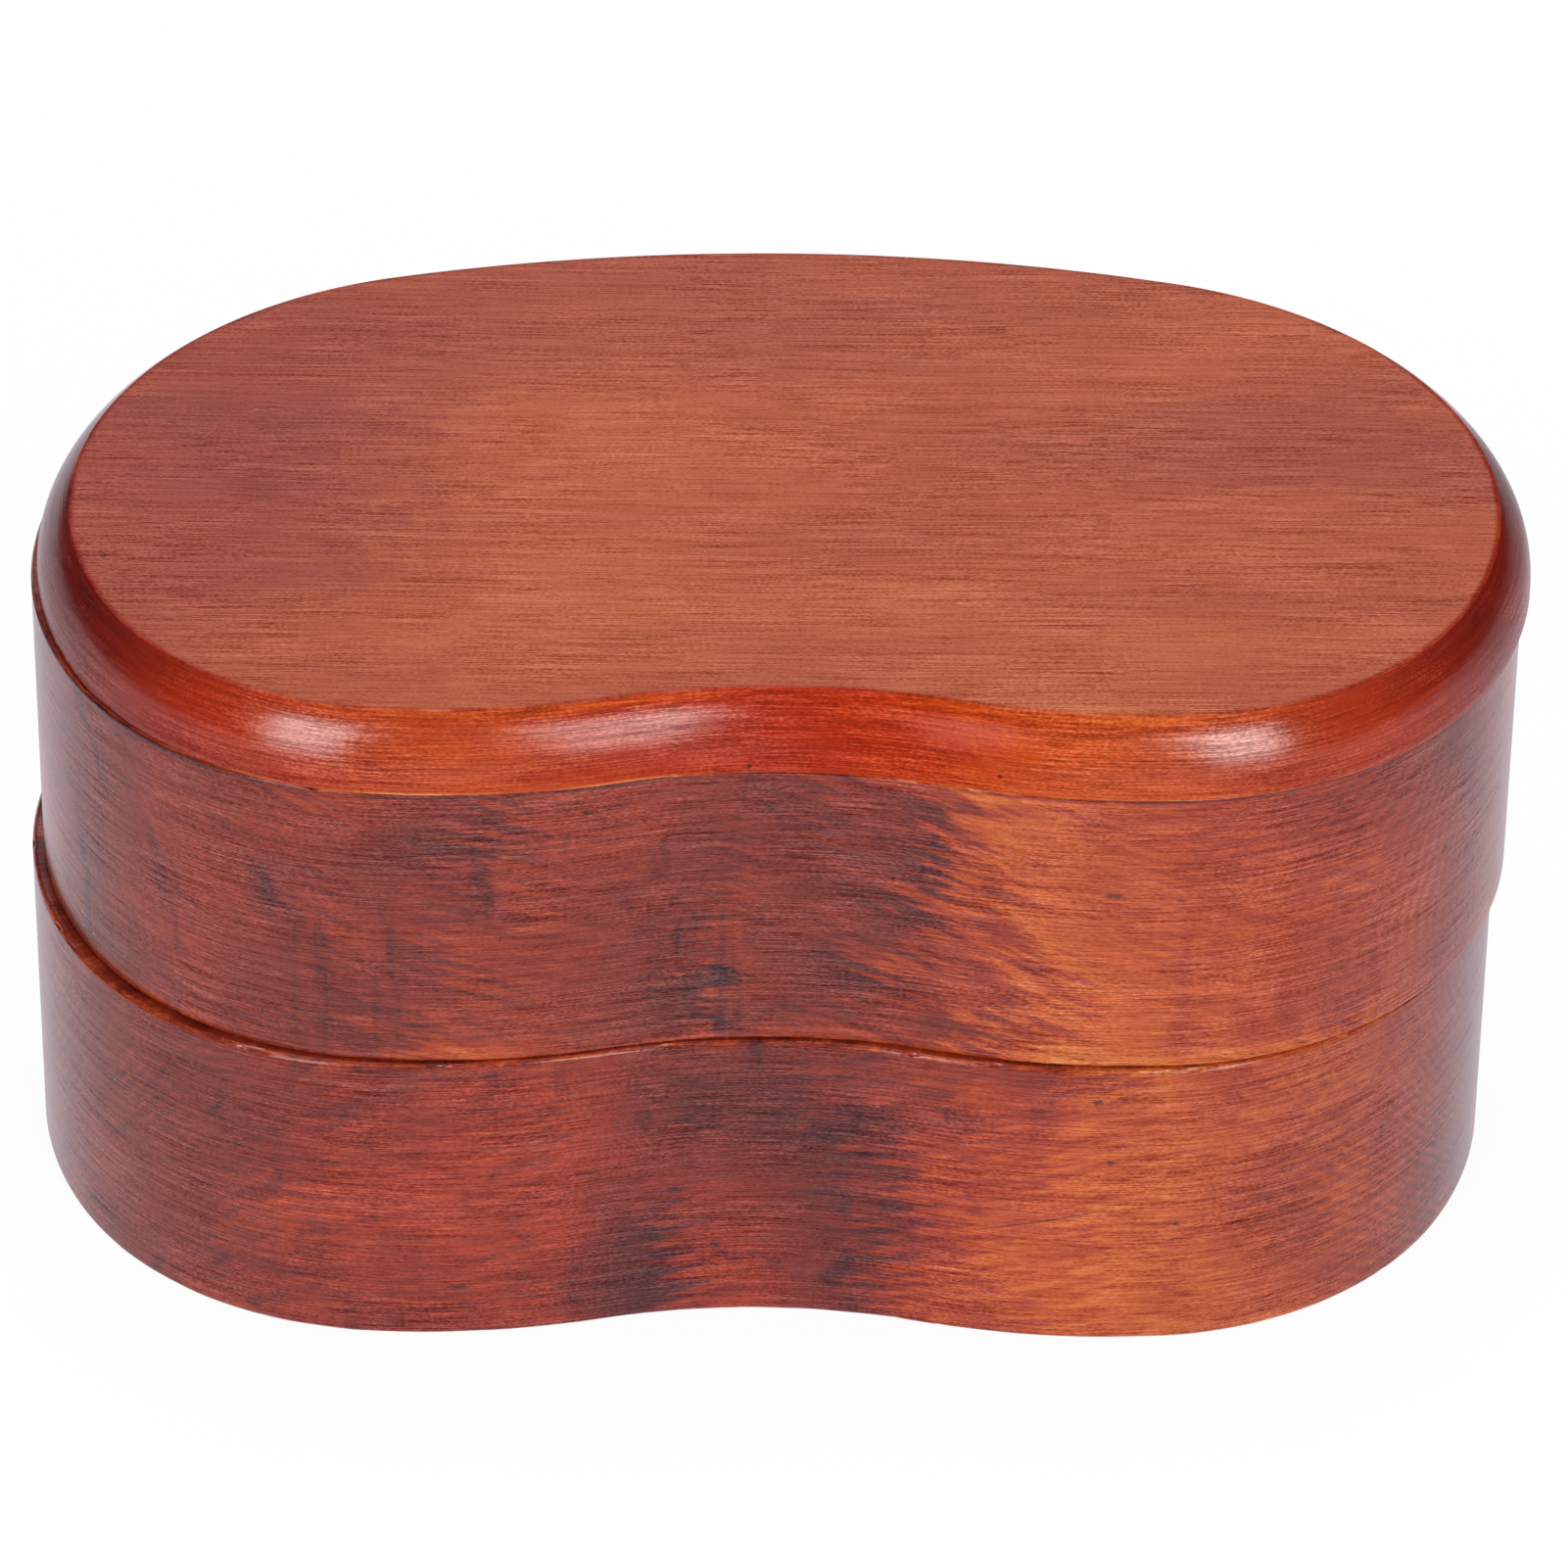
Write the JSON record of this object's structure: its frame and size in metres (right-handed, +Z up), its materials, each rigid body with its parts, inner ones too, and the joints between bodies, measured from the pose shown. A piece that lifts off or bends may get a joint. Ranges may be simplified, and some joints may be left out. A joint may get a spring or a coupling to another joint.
{
  "type": "bento box",
  "caption": "Kidney-shaped wooden lunch box of nesting tiers, with a divider board and a plug-fit lid with a rounded edge.",
  "frame": {"origin": "the point on the base plane under the middle of the lower tier, halfway along its length and halfway between its front lobes and its back", "axes": "+X along the length to the right-hand end, +Y from the dented front to the long back, +Z up from the base to the lid"},
  "size_m": [0.1771, 0.1056, 0.0875],
  "materials": {
    "stained_wood": "satin red-brown stain under a thin clear lacquer",
    "divider_wood": "satin, a little paler than the box"
  },
  "bodies": {
    "lower_tier": {"lower_tier": "stained_wood"},
    "upper_tier": {"upper_tier": "stained_wood"},
    "divider": {"divider": "divider_wood"},
    "lid": {"lid": "stained_wood"}
  },
  "joints": [
    {"name": "upper_lift", "type": "slide", "parent": "lower_tier", "child": "upper_tier", "axis": [0, 0, 1], "range_m": [0, 0.08]},
    {"name": "divider_lift", "type": "slide", "parent": "upper_tier", "child": "divider", "axis": [0, 0, 1], "range_m": [0, 0.06]},
    {"name": "lid_lift", "type": "slide", "parent": "divider", "child": "lid", "axis": [0, 0, 1], "range_m": [0, 0.06]}
  ]
}
